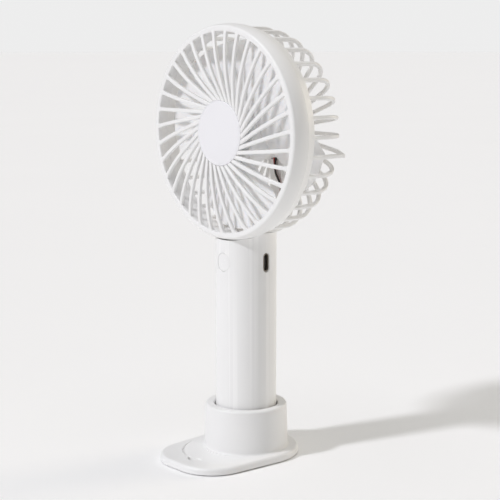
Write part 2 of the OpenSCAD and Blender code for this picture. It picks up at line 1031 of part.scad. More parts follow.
module dock_pad() {
  color(pad_grey)
    pad_shape(0, pad_t, 0);
}

front_grille();
badge_cap();
rear_guard();
rear_cover();
impeller();
motor_can();
motor_magnets();
motor_end_cap();
motor_bushes();
motor_shaft();
armature_core();
armature_windings();
commutator();
motor_brushes();
motor_screws();
motor_lead_black();
motor_lead_red();
handle_front();
handle_rear();
handle_cap();
handle_screws();
power_button();
switch_plunger();
push_switch();
main_board();
board_screws();
charge_chip();
boost_inductor();
filter_capacitor();
usb_shell();
usb_tongue();
battery_cell();
battery_tabs();
battery_lead_black();
battery_lead_red();
dock_body();
dock_pad();
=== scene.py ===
"""The looks of a handheld electric fan in its desk dock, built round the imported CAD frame."""
import json
import math

import bmesh
import bpy
from mathutils import Matrix, Vector


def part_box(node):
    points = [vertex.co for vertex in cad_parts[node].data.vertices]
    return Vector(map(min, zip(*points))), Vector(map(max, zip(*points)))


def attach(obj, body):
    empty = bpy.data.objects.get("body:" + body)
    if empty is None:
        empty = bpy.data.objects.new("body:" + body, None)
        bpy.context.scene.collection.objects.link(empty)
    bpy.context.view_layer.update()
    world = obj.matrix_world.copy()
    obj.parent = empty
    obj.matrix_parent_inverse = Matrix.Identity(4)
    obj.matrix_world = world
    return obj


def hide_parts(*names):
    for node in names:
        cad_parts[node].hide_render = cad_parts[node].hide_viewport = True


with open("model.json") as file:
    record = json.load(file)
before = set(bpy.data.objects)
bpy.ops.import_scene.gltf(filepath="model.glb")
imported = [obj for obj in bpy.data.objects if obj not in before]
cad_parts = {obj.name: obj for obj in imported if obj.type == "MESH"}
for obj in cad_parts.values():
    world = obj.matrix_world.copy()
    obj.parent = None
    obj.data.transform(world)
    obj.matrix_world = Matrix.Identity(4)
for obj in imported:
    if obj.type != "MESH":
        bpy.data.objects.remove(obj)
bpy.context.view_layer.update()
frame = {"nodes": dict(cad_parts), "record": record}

# ---- Units and the sizes that the frame gives, in millimetres ----

MM = 0.001


def node_box(node):
    """Lowest and highest corner of a CAD node, in millimetres."""
    low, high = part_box(node)
    return low / MM, high / MM


badge_low, badge_high = node_box("badge_cap")
grille_low, grille_high = node_box("front_grille")
grip_low, grip_high = node_box("handle_front")
socket_low, socket_high = node_box("usb_shell")
dock_low, dock_high = node_box("dock_body")

HEAD_Z = (badge_low.z + badge_high.z) / 2
BADGE_R = badge_high.x
BADGE_FRONT = -badge_low.y
RING_R = grille_high.x
FACE_Y = 16.9
CREST_Y = -grille_low.y
SEAM_Y = -grille_high.y
CUP_BACK = -node_box("rear_guard")[1].y
GUARD_BACK = CUP_BACK + 0.1
BLADE_R = 48
HUB_FRONT = -node_box("impeller")[0].y
GRIP_R = grip_high.x
GRIP_LOW = grip_low.z
CONTROL_Z = (socket_low.z + socket_high.z) / 2
CAP_LOW = node_box("handle_cap")[0].z
COLLAR_TOP = dock_high.z
PAD_TOP = node_box("dock_pad")[1].z

# Places the head's own axes in the row frame: its +Z is forwards, which is -Y
HEAD = Matrix.Translation((0, 0, HEAD_Z)) @ Matrix.Rotation(math.radians(90), 4, "X")
WORLD = Matrix.Identity(4)


# ---- Shapes: a solid is (points, faces), in millimetres ----


def arc(centre, rx, ry, start, end, steps):
    """Points on an arc of a circle or an ellipse, with angles in degrees."""
    turns = [math.radians(start + (end - start) * i / steps) for i in range(steps + 1)]
    return [(centre[0] + rx * math.cos(t), centre[1] + ry * math.sin(t)) for t in turns]


def loft(rings, closed=False):
    """A solid whose skin runs through rings of points. Its ends are capped unless it closes on itself."""
    count = len(rings[0])
    points = [p for ring in rings for p in ring]
    faces = []
    for k in range(len(rings) if closed else len(rings) - 1):
        a = k * count
        b = (k + 1) % len(rings) * count
        for j in range(count):
            n = (j + 1) % count
            faces.append((a + j, a + n, b + n, b + j))
    if not closed:
        faces.append(tuple(range(count - 1, -1, -1)))
        faces.append(tuple(range(len(points) - count, len(points))))
    return points, faces


def circle(radius, height, steps):
    """A ring of points about the Z axis."""
    turns = [2 * math.pi * i / steps for i in range(steps)]
    return [(radius * math.cos(t), radius * math.sin(t), height) for t in turns]


def lathe(profile, steps=192, closed=False):
    """A profile of (radius, height) points turned about the Z axis."""
    return loft([circle(r, h, steps) for r, h in profile], closed)


def disc(radius, low, high, edge=0.0, steps=96):
    """A round solid with its rims rounded by edge."""
    if not edge:
        return lathe([(radius, low), (radius, high)], steps)
    lower = arc((radius - edge, low + edge), edge, edge, -90, 0, 4)
    upper = arc((radius - edge, high - edge), edge, edge, 0, 90, 4)
    return lathe(lower + upper, steps)


def rounded(width, height, corner, steps=3):
    """A rectangle about the origin with round corners."""
    x, y = width / 2 - corner, height / 2 - corner
    corners = [((x, y), 0), ((-x, y), 90), ((-x, -y), 180), ((x, -y), 270)]
    return [p for c, a in corners for p in arc(c, corner, corner, a, a + 90, steps)]


def block(low, high, edge):
    """A box between two corners, with all of its edges rounded."""
    size = [b - a for a, b in zip(low, high)]
    mid = [(a + b) / 2 for a, b in zip(low, high)]
    rings = []
    for inset, z in arc((edge, low[2] + edge), edge, edge, 270, 180, 3):
        outline = rounded(size[0] - 2 * inset, size[1] - 2 * inset, edge)
        rings.append([(mid[0] + x, mid[1] + y, z) for x, y in outline])
    for inset, z in arc((edge, high[2] - edge), edge, edge, 180, 90, 3):
        outline = rounded(size[0] - 2 * inset, size[1] - 2 * inset, edge)
        rings.append([(mid[0] + x, mid[1] + y, z) for x, y in outline])
    return loft(rings)


def turned(solid, degrees):
    """The solid turned about the Z axis."""
    matrix = Matrix.Rotation(math.radians(degrees), 3, "Z")
    points, faces = solid
    return [tuple(matrix @ Vector(p)) for p in points], faces


def moved(solid, x, y=0.0):
    """The solid moved along X and Y."""
    points, faces = solid
    return [(p[0] + x, p[1] + y, p[2]) for p in points], faces


def along_y(solid, x, z):
    """A solid made about +Z, laid down along +Y through (x, z)."""
    points, faces = solid
    return [(p[0] + x, p[2], z - p[1]) for p in points], faces


def group(solids):
    """Separate solids as one."""
    points, faces = [], []
    for some_points, some_faces in solids:
        base = len(points)
        points.extend(some_points)
        faces.extend(tuple(i + base for i in face) for face in some_faces)
    return points, faces


# ---- Blender objects from solids ----


def build(name, solid, place=WORLD):
    """An object in metres, with its faces turned outwards."""
    points, faces = solid
    mesh = bpy.data.meshes.new(name)
    mesh.from_pydata([(place @ Vector(p)) * MM for p in points], [], faces)
    work = bmesh.new()
    work.from_mesh(mesh)
    bmesh.ops.recalc_face_normals(work, faces=work.faces)
    work.to_mesh(mesh)
    work.free()
    made = bpy.data.objects.new(name, mesh)
    bpy.context.scene.collection.objects.link(made)
    return made


def combine(body, operation, solids, place=WORLD):
    """Joins solids to body (UNION) or cuts them out of it (DIFFERENCE)."""
    tools = [build(f"tool_{i}", solid, place) for i, solid in enumerate(solids)]
    held = bpy.data.collections.new("tools")
    for tool in tools:
        held.objects.link(tool)
    modifier = body.modifiers.new("combine", "BOOLEAN")
    modifier.operation = operation
    modifier.solver = "MANIFOLD"
    modifier.operand_type = "COLLECTION"
    modifier.collection = held
    bpy.context.view_layer.update()
    shown = body.evaluated_get(bpy.context.evaluated_depsgraph_get())
    mesh = bpy.data.meshes.new_from_object(shown)
    body.modifiers.clear()
    body.data = mesh
    mesh.name = body.name
    for tool in tools:
        bpy.data.objects.remove(tool)
    bpy.data.collections.remove(held)


def smooth(piece, sharp=32):
    """Smooth shading that keeps flat faces flat and edges sharper than the given angle crisp."""
    piece.data.shade_smooth()
    piece.data.set_sharp_from_angle(angle=math.radians(sharp))
    normals = piece.modifiers.new("normals", "WEIGHTED_NORMAL")
    normals.keep_sharp = True
    return piece


def soften(piece, width, sharp=40):
    """Rounds the piece's sharp edges by a small width, in millimetres."""
    bevel = piece.modifiers.new("edges", "BEVEL")
    bevel.width = width * MM
    bevel.segments = 2
    bevel.limit_method = "ANGLE"
    bevel.angle_limit = math.radians(sharp)
    return piece


def place_piece(piece, body, slot, material, *nodes):
    """Gives a finished piece its material and its body, and hides the CAD nodes that it stands for."""
    piece.data.materials.clear()
    piece.data.materials.append(material)
    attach(piece, body)
    if nodes:
        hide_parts(*nodes)


# ---- Materials ----


class Nodes:
    """A short way to wire a material's nodes."""

    def __init__(self, name):
        self.material = bpy.data.materials.new(name)
        self.material.use_nodes = True
        self.tree = self.material.node_tree
        self.shader = self.tree.nodes["Principled BSDF"]
        self.place = self.add("ShaderNodeTexCoord").outputs["Object"]

    def add(self, kind, **values):
        node = self.tree.nodes.new(kind)
        for key, value in values.items():
            setattr(node, key, value)
        return node

    def link(self, output, target):
        self.tree.links.new(output, target)

    def noise(self, scale, detail=3.0, rough=0.5, stretch=None):
        """Noise in the piece's own axes; scale is in grains a metre."""
        node = self.add("ShaderNodeTexNoise")
        node.inputs["Scale"].default_value = scale
        node.inputs["Detail"].default_value = detail
        node.inputs["Roughness"].default_value = rough
        source = self.place
        if stretch:
            mapping = self.add("ShaderNodeMapping")
            mapping.inputs["Scale"].default_value = stretch
            self.link(source, mapping.inputs["Vector"])
            source = mapping.outputs["Vector"]
        self.link(source, node.inputs["Vector"])
        return node.outputs["Fac"]

    def range(self, value, low, high, to_low, to_high):
        """Maps a value from one range to another, held at the ends."""
        node = self.add("ShaderNodeMapRange")
        node.inputs["From Min"].default_value = low
        node.inputs["From Max"].default_value = high
        node.inputs["To Min"].default_value = to_low
        node.inputs["To Max"].default_value = to_high
        self.link(value, node.inputs["Value"])
        return node.outputs["Result"]

    def mix(self, share, first, second):
        """Mixes two colours, each a linked output or a plain colour."""
        node = self.add("ShaderNodeMix", data_type="RGBA")
        self.link(share, node.inputs["Factor"])
        sockets = [s for s in node.inputs if s.type == "RGBA"]
        for socket, value in zip(sockets, (first, second)):
            if isinstance(value, bpy.types.NodeSocket):
                self.link(value, socket)
            else:
                socket.default_value = (*value, 1)
        return [s for s in node.outputs if s.type == "RGBA"][0]

    def edges(self):
        """Nearly 1 on convex edges and 0 elsewhere."""
        point = self.add("ShaderNodeNewGeometry").outputs["Pointiness"]
        return self.range(point, 0.52, 0.6, 0, 1)

    def bump(self, height, strength, depth):
        """Relief of the given depth in metres."""
        node = self.add("ShaderNodeBump")
        node.inputs["Strength"].default_value = strength
        node.inputs["Distance"].default_value = depth
        self.link(height, node.inputs["Height"])
        self.link(node.outputs["Normal"], self.shader.inputs["Normal"])

    def set(self, **values):
        """Sets constants on the shader's own sockets."""
        for key, value in values.items():
            self.shader.inputs[key.replace("_", " ")].default_value = value


def shade(colour, factor):
    """The colour made lighter or darker by a factor."""
    return tuple(min(1.0, c * factor) for c in colour)


def moulded(name, colour, roughness, grain=2400, relief=0.00001, soft=0.0):
    """Moulded plastic: a fine textured skin, slow changes of shade, and edges polished by handling."""
    n = Nodes(name)
    cloud = n.noise(28, 2)
    mottled = n.mix(n.range(cloud, 0.35, 0.65, 0, 1), shade(colour, 0.985), shade(colour, 1.01))
    worn = n.mix(n.edges(), mottled, shade(colour, 1.06))
    n.link(worn, n.shader.inputs["Base Color"])
    patches = n.noise(210, 4, 0.6)
    n.link(n.range(patches, 0.3, 0.7, roughness - 0.05, roughness + 0.06), n.shader.inputs["Roughness"])
    n.bump(n.noise(grain, 4, 0.65), 0.5, relief)
    n.set(Specular_IOR_Level=0.45, Subsurface_Weight=soft, Subsurface_Scale=0.0012)
    n.shader.inputs["Subsurface Radius"].default_value = (1.0, 0.9, 0.8)
    return n.material


def metal(name, colour, roughness, stretch=(1, 1, 14), tarnish=0.8):
    """Drawn or turned metal: fine streaks, duller patches and bright edges."""
    n = Nodes(name)
    dull = n.noise(160, 4, 0.6)
    body = n.mix(n.range(dull, 0.35, 0.7, 0, 1), colour, shade(colour, tarnish))
    worn = n.mix(n.edges(), body, shade(colour, 1.15))
    n.link(worn, n.shader.inputs["Base Color"])
    streaks = n.noise(1500, 3, 0.6, stretch)
    n.link(n.range(streaks, 0.3, 0.7, roughness - 0.08, roughness + 0.1), n.shader.inputs["Roughness"])
    n.bump(streaks, 0.4, 0.000004)
    n.set(Metallic=1.0)
    return n.material


def rubbery(name, colour, roughness, grain=1800, relief=0.00002):
    """Soft vinyl or rubber: a dull skin with a light bloom and fine pores."""
    n = Nodes(name)
    bloom = n.noise(260, 5, 0.65)
    dusty = n.mix(n.range(bloom, 0.4, 0.75, 0, 1), colour, shade(colour, 1.25))
    n.link(dusty, n.shader.inputs["Base Color"])
    n.link(n.range(bloom, 0.3, 0.7, roughness - 0.06, roughness + 0.08), n.shader.inputs["Roughness"])
    n.bump(n.noise(grain, 3), 0.4, relief)
    return n.material


def solder_mask(name, colour):
    """Circuit board: green lacquer over a faint grid of copper tracks, with a glossy skin."""
    n = Nodes(name)
    tracks = n.add("ShaderNodeTexBrick", offset=0.37)
    tracks.inputs["Scale"].default_value = 420
    tracks.inputs["Mortar Size"].default_value = 0.07
    tracks.inputs["Color1"].default_value = (*colour, 1)
    tracks.inputs["Color2"].default_value = (*shade(colour, 1.15), 1)
    tracks.inputs["Mortar"].default_value = (*shade(colour, 1.9), 1)
    turn = n.add("ShaderNodeMapping")
    turn.inputs["Rotation"].default_value = (math.radians(90), 0, 0)
    n.link(n.place, turn.inputs["Vector"])
    n.link(turn.outputs["Vector"], tracks.inputs["Vector"])
    n.link(tracks.outputs["Color"], n.shader.inputs["Base Color"])
    n.link(n.range(n.noise(300), 0.3, 0.7, 0.22, 0.36), n.shader.inputs["Roughness"])
    n.bump(tracks.outputs["Fac"], 0.5, 0.00002)
    n.set(Coat_Weight=0.4, Coat_Roughness=0.15)
    return n.material


def film(name, colour):
    """Shrink film on the battery cell: glossy, with soft wrinkles."""
    n = Nodes(name)
    n.link(n.mix(n.noise(90, 3), shade(colour, 0.92), shade(colour, 1.08)), n.shader.inputs["Base Color"])
    n.link(n.range(n.noise(400, 4), 0.3, 0.7, 0.18, 0.32), n.shader.inputs["Roughness"])
    n.bump(n.noise(140, 3, 0.5, (1, 1, 0.3)), 0.3, 0.0001)
    n.set(Coat_Weight=0.5, Coat_Roughness=0.1)
    return n.material


FINISHES = {
    "shell_plastic": moulded("shell_plastic", (0.92, 0.918, 0.912), 0.42),
    "badge_plastic": moulded("badge_plastic", (0.905, 0.90, 0.925), 0.36, 3200, 0.000006),
    "blade_plastic": moulded("blade_plastic", (0.93, 0.928, 0.935), 0.34, 1600, 0.000006, 0.4),
    "steel": metal("steel", (0.62, 0.63, 0.65), 0.3),
    "iron": metal("iron", (0.2, 0.2, 0.21), 0.5, (1, 14, 1), 0.6),
    "copper": metal("copper", (0.80, 0.36, 0.18), 0.3, (1, 1, 6)),
    "brass": metal("brass", (0.75, 0.53, 0.22), 0.28),
    "dark_plastic": moulded("dark_plastic", (0.015, 0.015, 0.016), 0.45, 2000, 0.00001),
    "wire_black": rubbery("wire_black", (0.012, 0.012, 0.012), 0.4),
    "wire_red": rubbery("wire_red", (0.42, 0.02, 0.012), 0.38),
    "board": solder_mask("board", (0.008, 0.085, 0.03)),
    "cell_wrap": film("cell_wrap", (0.02, 0.12, 0.33)),
    "capacitor_can": metal("capacitor_can", (0.66, 0.68, 0.72), 0.24, (1, 14, 1)),
    "pad_rubber": rubbery("pad_rubber", (0.6, 0.6, 0.59), 0.62, 1200, 0.00005),
}
SOCKET_METAL = metal("socket_metal", (0.42, 0.38, 0.33), 0.5, (14, 1, 1), 0.7)
CONTACT_GOLD = metal("contact_gold", (0.83, 0.62, 0.25), 0.22, (14, 1, 1), 0.9)

SHELL = FINISHES["shell_plastic"]


# ---- Head: heights here are distances ahead of the grip's axis ----

OPENING_R = 49.4
RING_INNER_R = 50.5
LAP_R = 51.45
LAP_DEPTH = 2.2
SPOKES = 35
SPOKE_W = 1.9
SPOKE_T = 1.8
SPOKE_MISS = 10
SPOKE_PHASE = 3.6
CREST_R = 30.9
DOME_R = 76
SEAT_R = 14.9
SEAT_FRONT = 17.2
SEAT_BACK = 14.3
BADGE_BORE_R = 6.1


def ring_profile():
    """Outline of the front ring: a barrel-shaped wall, rounded to a narrow flat face."""
    barrel, barrel_y, edge = 18, 10.5, 1.4
    low = math.degrees(math.asin((SEAM_Y + 0.18 - barrel_y) / barrel))
    high = math.degrees(math.asin((FACE_Y - edge - barrel_y) / barrel))
    wall = arc((RING_R - barrel, barrel_y), barrel, barrel, low, high, 14)
    fillet = arc((wall[-1][0] - edge, FACE_Y - edge), edge, edge, 14, 90, 8)
    lip = arc((OPENING_R + 0.6, FACE_Y - 0.6), 0.6, 0.6, 90, 180, 5)
    inside = [
        (OPENING_R, FACE_Y - 2.4),
        (RING_INNER_R, FACE_Y - 3.4),
        (RING_INNER_R, SEAM_Y + LAP_DEPTH),
        (LAP_R, SEAM_Y + LAP_DEPTH),
        (LAP_R, SEAM_Y),
        (wall[0][0] - 0.2, SEAM_Y),
    ]
    return wall + fillet + lip + inside


def dome(radius):
    """How far ahead the front of the domed spokes lies at a radius."""
    return CREST_Y - DOME_R + math.sqrt(DOME_R**2 - (radius - CREST_R) ** 2)


def spoke():
    """One spoke, straight from the front, that misses the blade axis, flared where it meets the ring."""
    inner = math.sqrt((SEAT_R - 0.8) ** 2 - SPOKE_MISS**2)
    outer = math.sqrt((OPENING_R + 0.9) ** 2 - SPOKE_MISS**2)
    steps = 16
    flare = [(inner + (outer - 3.2 - inner) * k / steps, 1) for k in range(steps + 1)]
    flare += [(outer - 2.2, 1.05), (outer - 1.5, 1.18), (outer - 1.0, 1.4), (outer, 1.9)]
    rings = []
    for x, wide in flare:
        outline = rounded(SPOKE_W * wide, SPOKE_T, 0.5, 4)
        middle = dome(math.hypot(x, SPOKE_MISS)) - SPOKE_T / 2
        rings.append([(x, y - SPOKE_MISS, middle + z) for y, z in outline])
    return loft(rings)


def hub_seat():
    """Disc behind the badge that the spokes grow from."""
    rim_inner, web_back, chamfer = SEAT_R - 1.6, SEAT_BACK + 1.2, 0.4
    return lathe([
        (BADGE_BORE_R, web_back), (rim_inner, web_back), (rim_inner, SEAT_BACK),
        (SEAT_R - chamfer, SEAT_BACK), (SEAT_R, SEAT_BACK + chamfer),
        (SEAT_R, SEAT_FRONT), (BADGE_BORE_R, SEAT_FRONT),
    ], closed=True)


def front_grille():
    """Front ring with its spokes and the seat that takes the badge."""
    piece = build("front_grille_shell", lathe(ring_profile(), 240, closed=True), HEAD)
    first = SPOKE_PHASE + math.degrees(math.asin(SPOKE_MISS / OPENING_R))
    spokes = [turned(spoke(), first + i * 360 / SPOKES) for i in range(SPOKES)]
    combine(piece, "UNION", [hub_seat()] + spokes, HEAD)
    recess = disc(BADGE_R + 0.1, SEAT_FRONT, CREST_Y, steps=192)
    bore = disc(BADGE_BORE_R, SEAT_BACK, CREST_Y)
    combine(piece, "DIFFERENCE", [recess, bore], HEAD)
    smooth(piece)
    place_piece(piece, "fan", "shell_plastic", SHELL, "front_grille")


def badge_cap():
    """Plain round cover with a fine line near its rolled edge."""
    edge, line_r, line_half, line_deep = 0.4, BADGE_R - 0.95, 0.16, 0.14
    profile = [(BADGE_R - 0.1, SEAT_FRONT), (BADGE_R, SEAT_FRONT + 0.1)]
    profile += arc((BADGE_R - edge, BADGE_FRONT - edge), edge, edge, 0, 90, 5)
    profile += [
        (line_r + line_half, BADGE_FRONT),
        (line_r, BADGE_FRONT - line_deep),
        (line_r - line_half, BADGE_FRONT),
    ]
    piece = build("badge_disc", lathe(profile, 192), HEAD)
    inner, outer, low, high = 4.6, BADGE_BORE_R - 0.1, SEAT_BACK + 0.6, SEAT_FRONT + 0.2
    boss = [(inner, low), (outer, low), (outer, high), (inner, high)]
    combine(piece, "UNION", [lathe(boss, closed=True)], HEAD)
    smooth(piece, 24)
    place_piece(piece, "fan", "badge_plastic", FINISHES["badge_plastic"], "badge_cap")


GUARD_R = 52
RIM_BACK = 3
RIM_FLARE = 0.9
RIBS = 34
RIB_W = 1.9
RIB_D = 2
RIB_EDGE = 0.55
RIB_PHASE = -0.6
RIB_TOP = RIM_BACK + 0.6
BEND_R = 37.5
BEND_Y = -6.5
RIB_END_R = 13.4
ARM_W = 9
NECK_HALF = 12.5
SEAT_INNER_R = 12.35
SEAT_OUTER_R = 13.9
FLANGE_R = 17
CUP_WALL = (-7.4, -5.8)
COVER_R = node_box("rear_cover")[1].x
COVER_FRONT = -21.1
MOTOR_SCREW_X = 6
NECK_SCREW_X = 5.5
NECK_SCREW_Z = 108.3
STEM_HALF_X = 8
STEM_Y = (-5.5, 2.5)
STEM_LOW_Z = 106.2


def rib_paths():
    """Outer and inner line of a bent rib, as (radius, height) pairs at matching places."""
    wide, deep = GUARD_R - BEND_R, BEND_Y - GUARD_BACK
    side_y, back_r = -1.5, 26
    outer = [(GUARD_R, RIB_TOP), (GUARD_R, side_y)]
    outer += arc((BEND_R, BEND_Y), wide, deep, 0, -90, 20)
    outer += [(back_r, GUARD_BACK), (RIB_END_R, GUARD_BACK)]
    inner = [(GUARD_R - RIB_D, RIB_TOP), (GUARD_R - RIB_D, side_y)]
    inner += arc((BEND_R, BEND_Y), wide - RIB_D, deep - RIB_D, 0, -90, 20)
    inner += [(back_r, GUARD_BACK + RIB_D), (RIB_END_R, GUARD_BACK + RIB_D)]
    return outer, inner


def corner_rib_paths():
    """The same for the one rib whose bend is a sharp corner."""
    outer = [(GUARD_R, RIB_TOP), (GUARD_R - 0.1, GUARD_BACK + 3.7)]
    outer += [(44, GUARD_BACK + 0.1), (RIB_END_R, GUARD_BACK)]
    inner = [(GUARD_R - RIB_D, RIB_TOP), (GUARD_R - RIB_D - 0.1, GUARD_BACK + 5.4)]
    inner += [(43.4, GUARD_BACK + RIB_D + 0.1), (RIB_END_R, GUARD_BACK + RIB_D)]
    return outer, inner


def rib(paths, width, corner):
    """A rib with round edges between two matching lines."""
    rings = []
    for (r0, z0), (r1, z1) in zip(*paths):
        length = math.hypot(r1 - r0, z1 - z0)
        out = ((r0 - r1) / length, (z0 - z1) / length)
        outline = rounded(length, width, corner)
        rings.append([
            ((r0 + r1) / 2 + a * out[0], b, (z0 + z1) / 2 + a * out[1]) for a, b in outline
        ])
    return loft(rings)


def guard_rim():
    """Ring at the front of the guard, with the lap that slides inside the front ring."""
    lap = LAP_R - 0.05
    flared = GUARD_R + RIM_FLARE
    return lathe([
        (RING_INNER_R + 0.3, RIM_BACK), (GUARD_R - 0.35, RIM_BACK), (GUARD_R - 0.1, RIM_BACK + 0.1),
        (GUARD_R, RIM_BACK + 0.35), (flared, SEAM_Y - 0.25), (flared - 0.2, SEAM_Y),
        (lap, SEAM_Y), (lap, SEAM_Y + LAP_DEPTH - 0.3), (lap - 0.2, SEAM_Y + LAP_DEPTH - 0.1),
        (RING_INNER_R, SEAM_Y + LAP_DEPTH - 0.1), (RING_INNER_R, RIM_BACK + 0.3),
    ], 240, closed=True)


def neck_saddle():
    """Curved plate at the foot of the guard, which sits on top of the grip."""
    wide, deep = GUARD_R - BEND_R, BEND_Y - GUARD_BACK
    section = [(GUARD_R - RIB_D, RIB_TOP), (GUARD_R, RIB_TOP)]
    section += arc((BEND_R, BEND_Y), wide, deep, 0, -28, 5)
    section += arc((BEND_R, BEND_Y), wide - RIB_D, deep - RIB_D, -32, 0, 5)
    half_steps = 8
    rings = []
    for k in range(2 * half_steps + 1):
        turn = math.radians(-90 - NECK_HALF + k * NECK_HALF / half_steps)
        rings.append([(r * math.cos(turn), r * math.sin(turn), h) for r, h in section])
    return loft(rings)


def guard_ribs():
    """All ribs of the guard, of which the last one has the sharp corner."""
    bent = rib(rib_paths(), RIB_W, RIB_EDGE)
    cornered = rib(corner_rib_paths(), RIB_W, RIB_EDGE)
    shapes = [bent] * (RIBS - 1) + [cornered]
    return [turned(shape, RIB_PHASE + i * 360 / RIBS) for i, shape in enumerate(shapes)]


def guard_cuts():
    """Holes in the guard: the motor seat's bores, the screw holes, and the ways for the leads."""
    bush_room_r, motor_hole_r, neck_hole_r = 3.3, 0.95, 1.02
    seat_way_half, saddle_way_half = 3.6, 2.2
    wall_low, wall_high = CUP_WALL[0] - 1, CUP_WALL[1] + 1
    cuts = [
        disc(SEAT_INNER_R, GUARD_BACK - 2, CUP_WALL[0]),
        disc(COVER_R + 0.05, GUARD_BACK - 2, COVER_FRONT),
        disc(bush_room_r, wall_low, wall_high),
    ]
    for side in (-1, 1):
        cuts.append(moved(disc(motor_hole_r, wall_low, wall_high), side * MOTOR_SCREW_X))
    for side in (-1, 1):
        hole = disc(neck_hole_r, STEM_Y[0] - 1, STEM_Y[0] + 1, steps=48)
        cuts.append(moved(hole, side * NECK_SCREW_X, NECK_SCREW_Z - HEAD_Z))
    seat_way_low = (-seat_way_half, -SEAT_OUTER_R - 1.2, COVER_FRONT)
    seat_way_high = (seat_way_half, -SEAT_OUTER_R + 2.8, COVER_FRONT + 2.4)
    saddle_way_low = (-saddle_way_half, -GUARD_R - 3, -10.6)
    saddle_way_high = (saddle_way_half, -GUARD_R + 3, -6.4)
    cuts.append(block(seat_way_low, seat_way_high, 0.3))
    cuts.append(block(saddle_way_low, saddle_way_high, 0.3))
    return cuts


def rear_guard():
    """Rear cage of ribs, with the motor seat, the saddle on the grip and the stem inside it."""
    piece = build("rear_cage", guard_rim(), HEAD)
    arm = turned(rib(rib_paths(), ARM_W, 0.8), -90)
    stem_low = (-STEM_HALF_X, STEM_LOW_Z - HEAD_Z, STEM_Y[0])
    stem = block(stem_low, (STEM_HALF_X, 1.2 - GUARD_R, STEM_Y[1]), 0.5)
    flange = disc(FLANGE_R, CUP_BACK, GUARD_BACK + RIB_D - 0.3, 0.5)
    cup = disc(SEAT_OUTER_R, CUP_BACK, CUP_WALL[1], 0.8)
    combine(piece, "UNION", guard_ribs() + [arm, neck_saddle(), stem, flange, cup], HEAD)
    combine(piece, "DIFFERENCE", guard_cuts(), HEAD)
    smooth(piece)
    place_piece(piece, "fan", "shell_plastic", SHELL, "rear_guard")


def rear_cover():
    """Round cover with rolled edge and one shallow ring pressed into it."""
    edge, back, groove = 0.5, CUP_BACK, 0.35
    profile = [(COVER_R, COVER_FRONT)] + arc((COVER_R - edge, back + edge), edge, edge, 0, -90, 5)
    profile += [(9.4, back), (9.1, back + groove), (7.6, back + groove), (7.3, back)]
    piece = build("rear_disc", lathe(profile), HEAD)
    inner, outer, low, high = 11.3, 12.3, COVER_FRONT - 0.1, COVER_FRONT + 0.9
    wall = [(inner, low), (outer, low), (outer, high), (inner, high)]
    combine(piece, "UNION", [lathe(wall, closed=True)], HEAD)
    lead_gap = block((-4, -14, COVER_FRONT), (4, -1, -19), 0.2)
    combine(piece, "DIFFERENCE", [lead_gap], HEAD)
    smooth(piece)
    place_piece(piece, "fan", "shell_plastic", SHELL, "rear_cover")


# ---- Blades: each edge's height is given at the hub and at the tip ----

BLADES = 3
BLADE_PHASE = 18
BLADE_HALF = 59
BLADE_REAR = (-6.2, -8.4)
BLADE_FRONT = (7.4, 8.0)
HUB_R = 15.5


def blade_point(u, v, side):
    """A point of a blade: u runs from its leading edge to its front edge, v from hub to tip."""
    reach = 1 if v < 0.7 else math.sqrt(1 - ((v - 0.7) / 0.32) ** 4)
    r = SEAT_R + (BLADE_R - SEAT_R) * v
    turn = math.radians(BLADE_HALF * (0.94 + 0.06 * math.sin(math.pi / 2 * v)) * reach * (2 * u - 1))
    rear = BLADE_REAR[0] + (BLADE_REAR[1] - BLADE_REAR[0]) * v
    front = BLADE_FRONT[0] + (BLADE_FRONT[1] - BLADE_FRONT[0]) * v
    rise = 1 - (1 - u) ** 3
    crown = math.sin(math.pi * u)
    rim = math.sqrt(max(0.0, 1 - (2 * u - 1) ** 12)) * math.sqrt(max(0.0, 1 - max(v, 0) ** 24))
    half = 0.07 + (0.25 + 0.45 * crown * (1.2 - 0.5 * v)) * rim
    return (r * math.cos(turn), r * math.sin(turn), rear + (front - rear) * rise + side * half)


def blade():
    """A thin cambered blade with round edges, as two skins and a rim."""
    across, out = 56, 26
    us = [0.5 - 0.5 * math.cos(math.pi * i / across) for i in range(across + 1)]
    vs = [-0.02 + 1.02 * math.sin(math.pi / 2 * j / out) for j in range(out + 1)]
    points = [blade_point(u, v, side) for side in (1, -1) for u in us for v in vs]
    row, layer = out + 1, (across + 1) * (out + 1)
    faces = []
    for i in range(across):
        for j in range(out):
            a = i * row + j
            faces.append((a, a + row, a + row + 1, a + 1))
            faces.append((layer + a, layer + a + 1, layer + a + row + 1, layer + a + row))
    rim = [i * row for i in range(across)] + [across * row + j for j in range(out)]
    rim += [i * row + out for i in range(across, 0, -1)] + [j for j in range(out, 0, -1)]
    for k, a in enumerate(rim):
        b = rim[(k + 1) % len(rim)]
        faces.append((a, b, b + layer, a + layer))
    return points, faces


def impeller():
    """Hollow hub with the blades on its skirt, and inside it a boss with the bore for the shaft."""
    rim, skirt_back, skirt_r, boss_r = 2, -7, 14.4, 3.2
    profile = [(HUB_R - 0.3, skirt_back), (HUB_R, skirt_back + 0.3)]
    profile += arc((HUB_R - rim, HUB_FRONT - rim), rim, rim, 0, 90, 7)
    piece = build("blades", lathe(profile), HEAD)
    combine(piece, "DIFFERENCE", [disc(skirt_r, skirt_back - 1, HUB_FRONT - 1.3)], HEAD)
    boss = disc(boss_r, 0, HUB_FRONT - 1, 0.3, 64)
    blades = [turned(blade(), BLADE_PHASE + i * 360 / BLADES) for i in range(BLADES)]
    combine(piece, "UNION", [boss] + blades, HEAD)
    shaft_bore = disc(1, -1, 5, steps=48)
    motor_room = disc(skirt_r - 0.1, skirt_back - 1, -0.5)
    combine(piece, "DIFFERENCE", [shaft_bore, motor_room], HEAD)
    smooth(piece, 40)
    place_piece(piece, "rotor", "blade_plastic", FINISHES["blade_plastic"], "impeller")


# ---- Leads ----


